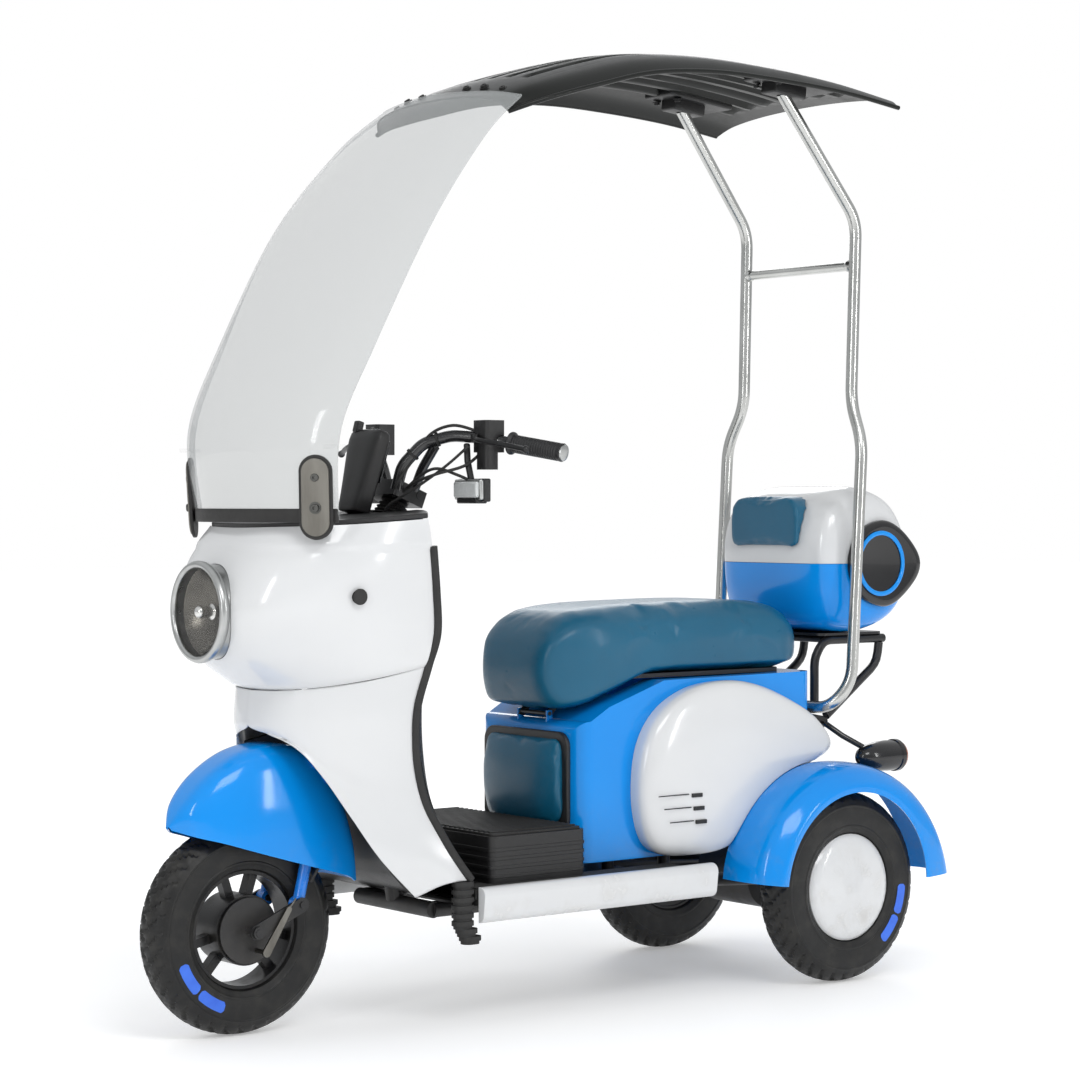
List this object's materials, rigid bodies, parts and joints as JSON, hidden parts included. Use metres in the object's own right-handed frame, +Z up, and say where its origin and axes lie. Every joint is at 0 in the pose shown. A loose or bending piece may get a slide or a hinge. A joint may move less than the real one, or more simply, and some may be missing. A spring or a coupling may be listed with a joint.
{
  "type": "mobility scooter",
  "caption": "Three-wheeled mobility scooter with steered front wheel, sprung rear axle, tipping seat, windshield, roof on bent posts and a top box with a hinged lid.",
  "frame": {"origin": "on the ground under the centre of the overall box", "axes": "+X towards the rider's left, -Y towards the front, +Z up"},
  "size_m": [0.66, 1.72, 1.7976],
  "materials": {
    "frame_black": "satin powder coat",
    "blue_paint": "gloss",
    "white_plastic": "gloss",
    "black_plastic": "fine grain",
    "chrome_trim": "mirror plated",
    "reflector": "satin plated",
    "lamp_glass": "clear moulded lens",
    "windshield_glass": "clear",
    "edge_rubber": "matte",
    "steel_plate": "brushed",
    "roof_black": "satin",
    "silver_tube": "satin silver",
    "battery_case": "fine grain",
    "seat_vinyl": "soft grain",
    "grip_rubber": "ribbed",
    "red_plastic": "gloss",
    "cast_black": "satin black",
    "fork_blue": "gloss",
    "rim_black": "satin black",
    "tyre": "matte"
  },
  "bodies": {
    "chassis": {"main_frame": "frame_black", "front_cowl": "white_plastic", "dash_deck": "black_plastic", "headlight_bezel": "chrome_trim", "headlight_reflector": "reflector", "headlight_lens": "lamp_glass", "leg_shield": "white_plastic", "shield_trim": "edge_rubber", "splash_guard": "black_plastic", "inner_panel": "black_plastic", "charge_port": "black_plastic", "windshield": "windshield_glass", "windshield_brackets": "steel_plate", "roof": "roof_black", "roof_clamps": "black_plastic", "roof_posts": "silver_tube", "instrument_pod": "black_plastic", "floor_pan": "black_plastic", "battery_cover": "black_plastic", "battery_pack": "battery_case", "floor_mat": "edge_rubber", "side_trims": "white_plastic", "corner_bumpers": "edge_rubber", "seat_base": "blue_paint", "side_panels": "white_plastic", "calf_pad": "seat_vinyl", "rear_fenders": "blue_paint", "rack": "frame_black", "rear_signals": "black_plastic", "box_base": "blue_paint", "box_cups": "black_plastic", "cup_rings": "blue_paint"},
    "steering": {"steering_stem": "frame_black", "handlebar": "frame_black", "left_grip": "grip_rubber", "switch_pods": "black_plastic", "front_signals": "black_plastic", "front_fender": "blue_paint", "fork": "fork_blue", "brake_cable": "grip_rubber"},
    "throttle": {"throttle_grip": "grip_rubber"},
    "horn_button": {"horn_button": "red_plastic"},
    "left_lever": {"left_lever": "cast_black"},
    "right_lever": {"right_lever": "cast_black"},
    "front_link": {"fork_links": "frame_black"},
    "brake_arm": {"brake_arm": "steel_plate"},
    "front_wheel": {"front_tyre": "tyre", "front_rim": "rim_black"},
    "seat": {"seat_pan": "frame_black", "seat_cushion": "seat_vinyl"},
    "box_lid": {"box_lid": "white_plastic", "box_pad": "seat_vinyl"},
    "rear_axle": {"rear_axle": "frame_black"},
    "left_wheel": {"rear_left_tyre": "tyre", "rear_left_rim": "rim_black", "rear_left_cap": "white_plastic"},
    "right_wheel": {"rear_right_tyre": "tyre", "rear_right_rim": "rim_black", "rear_right_cap": "white_plastic"}
  },
  "joints": [
    {"name": "steer", "type": "hinge", "parent": "chassis", "child": "steering", "pos_m": [0, -0.343, 0.912], "axis": [0, 0.3746, 0.9272], "range_deg": [-30, 30]},
    {"name": "throttle_twist", "type": "hinge", "parent": "steering", "child": "throttle", "pos_m": [-0.195, -0.229, 1.044], "axis": [-0.9188, 0.3578, -0.1667], "range_deg": [0, 70], "stiffness_Nm_per_rad": 0.5, "springref_deg": -11.46},
    {"name": "horn_press", "type": "slide", "parent": "steering", "child": "horn_button", "axis": [0, -1, 0], "range_m": [0, 0.003], "stiffness_N_per_m": 300, "springref_m": -0.002},
    {"name": "left_lever_pull", "type": "hinge", "parent": "steering", "child": "left_lever", "pos_m": [0.168, -0.2754, 1.05], "axis": [0, 0, 1], "range_deg": [0, 14], "stiffness_Nm_per_rad": 1.5, "springref_deg": -17.19},
    {"name": "right_lever_pull", "type": "hinge", "parent": "steering", "child": "right_lever", "pos_m": [-0.168, -0.2754, 1.05], "axis": [0, 0, -1], "range_deg": [0, 14], "stiffness_Nm_per_rad": 1.5, "springref_deg": -17.19},
    {"name": "front_suspension", "type": "hinge", "parent": "steering", "child": "front_link", "pos_m": [0, -0.58, 0.226], "axis": [-1, 0, 0], "range_deg": [0, 18], "stiffness_Nm_per_rad": 260, "springref_deg": -14.32},
    {"name": "brake_arm_pull", "type": "hinge", "parent": "front_link", "child": "brake_arm", "pos_m": [0.075, -0.658, 0.15], "axis": [-1, 0, 0], "range_deg": [0, 20.2]},
    {"name": "front_wheel_spin", "type": "hinge", "parent": "front_link", "child": "front_wheel", "pos_m": [0, -0.674, 0.186], "axis": [1, 0, 0], "continuous": true},
    {"name": "seat_tip", "type": "hinge", "parent": "chassis", "child": "seat", "pos_m": [0, -0.008, 0.535], "axis": [1, 0, 0], "range_deg": [0, 65]},
    {"name": "box_lid_lift", "type": "hinge", "parent": "chassis", "child": "box_lid", "pos_m": [0, 0.857, 0.812], "axis": [-1, 0, 0], "range_deg": [0, 80]},
    {"name": "rear_suspension", "type": "hinge", "parent": "chassis", "child": "rear_axle", "pos_m": [0, 0.262, 0.205], "axis": [1, 0, 0], "range_deg": [0, 7], "stiffness_Nm_per_rad": 3000, "springref_deg": -8.59},
    {"name": "left_wheel_spin", "type": "hinge", "parent": "rear_axle", "child": "left_wheel", "pos_m": [0.262, 0.538, 0.186], "axis": [1, 0, 0], "continuous": true},
    {"name": "right_wheel_spin", "type": "hinge", "parent": "rear_axle", "child": "right_wheel", "pos_m": [-0.262, 0.538, 0.186], "axis": [1, 0, 0], "continuous": true}
  ],
  "couplings": [
    {"joint": "brake_arm_pull", "follows": "left_lever_pull", "ratio": 1.44}
  ]
}
